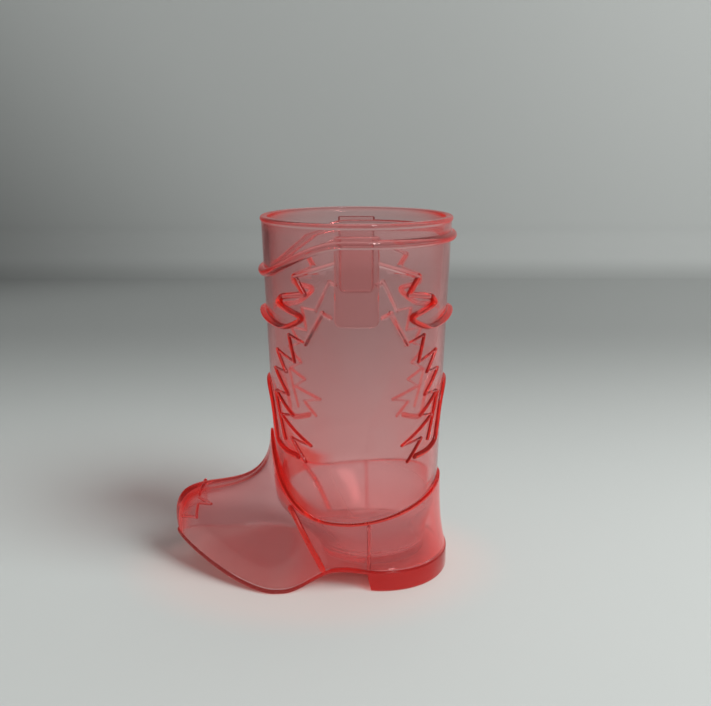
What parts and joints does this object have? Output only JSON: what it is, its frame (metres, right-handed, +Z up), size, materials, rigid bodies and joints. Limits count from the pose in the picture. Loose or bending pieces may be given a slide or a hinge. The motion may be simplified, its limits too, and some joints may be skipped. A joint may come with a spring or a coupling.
{
  "type": "boot shot glass",
  "caption": "Clear pink moulded shot glass in the shape of a western boot: a tapered cup with raised stitching, set in a hollow foot on a sole with a heel.",
  "frame": {"origin": "on the table, under the middle of the glass's outer box", "axes": "+Z up along the shaft, toe towards -X, heel towards +X, the side of the boot faces -Y"},
  "size_m": [0.0598, 0.0404, 0.076],
  "materials": {
    "cup_plastic": "clear, glossy, bright red at its edges",
    "foot_plastic": "clear, glossy, bright red at its edges",
    "sole_plastic": "clear, glossy, deep red where it is thick"
  },
  "bodies": {
    "root": {"shaft_cup": "cup_plastic", "foot_shell": "foot_plastic", "sole_and_heel": "sole_plastic"}
  },
  "joints": []
}
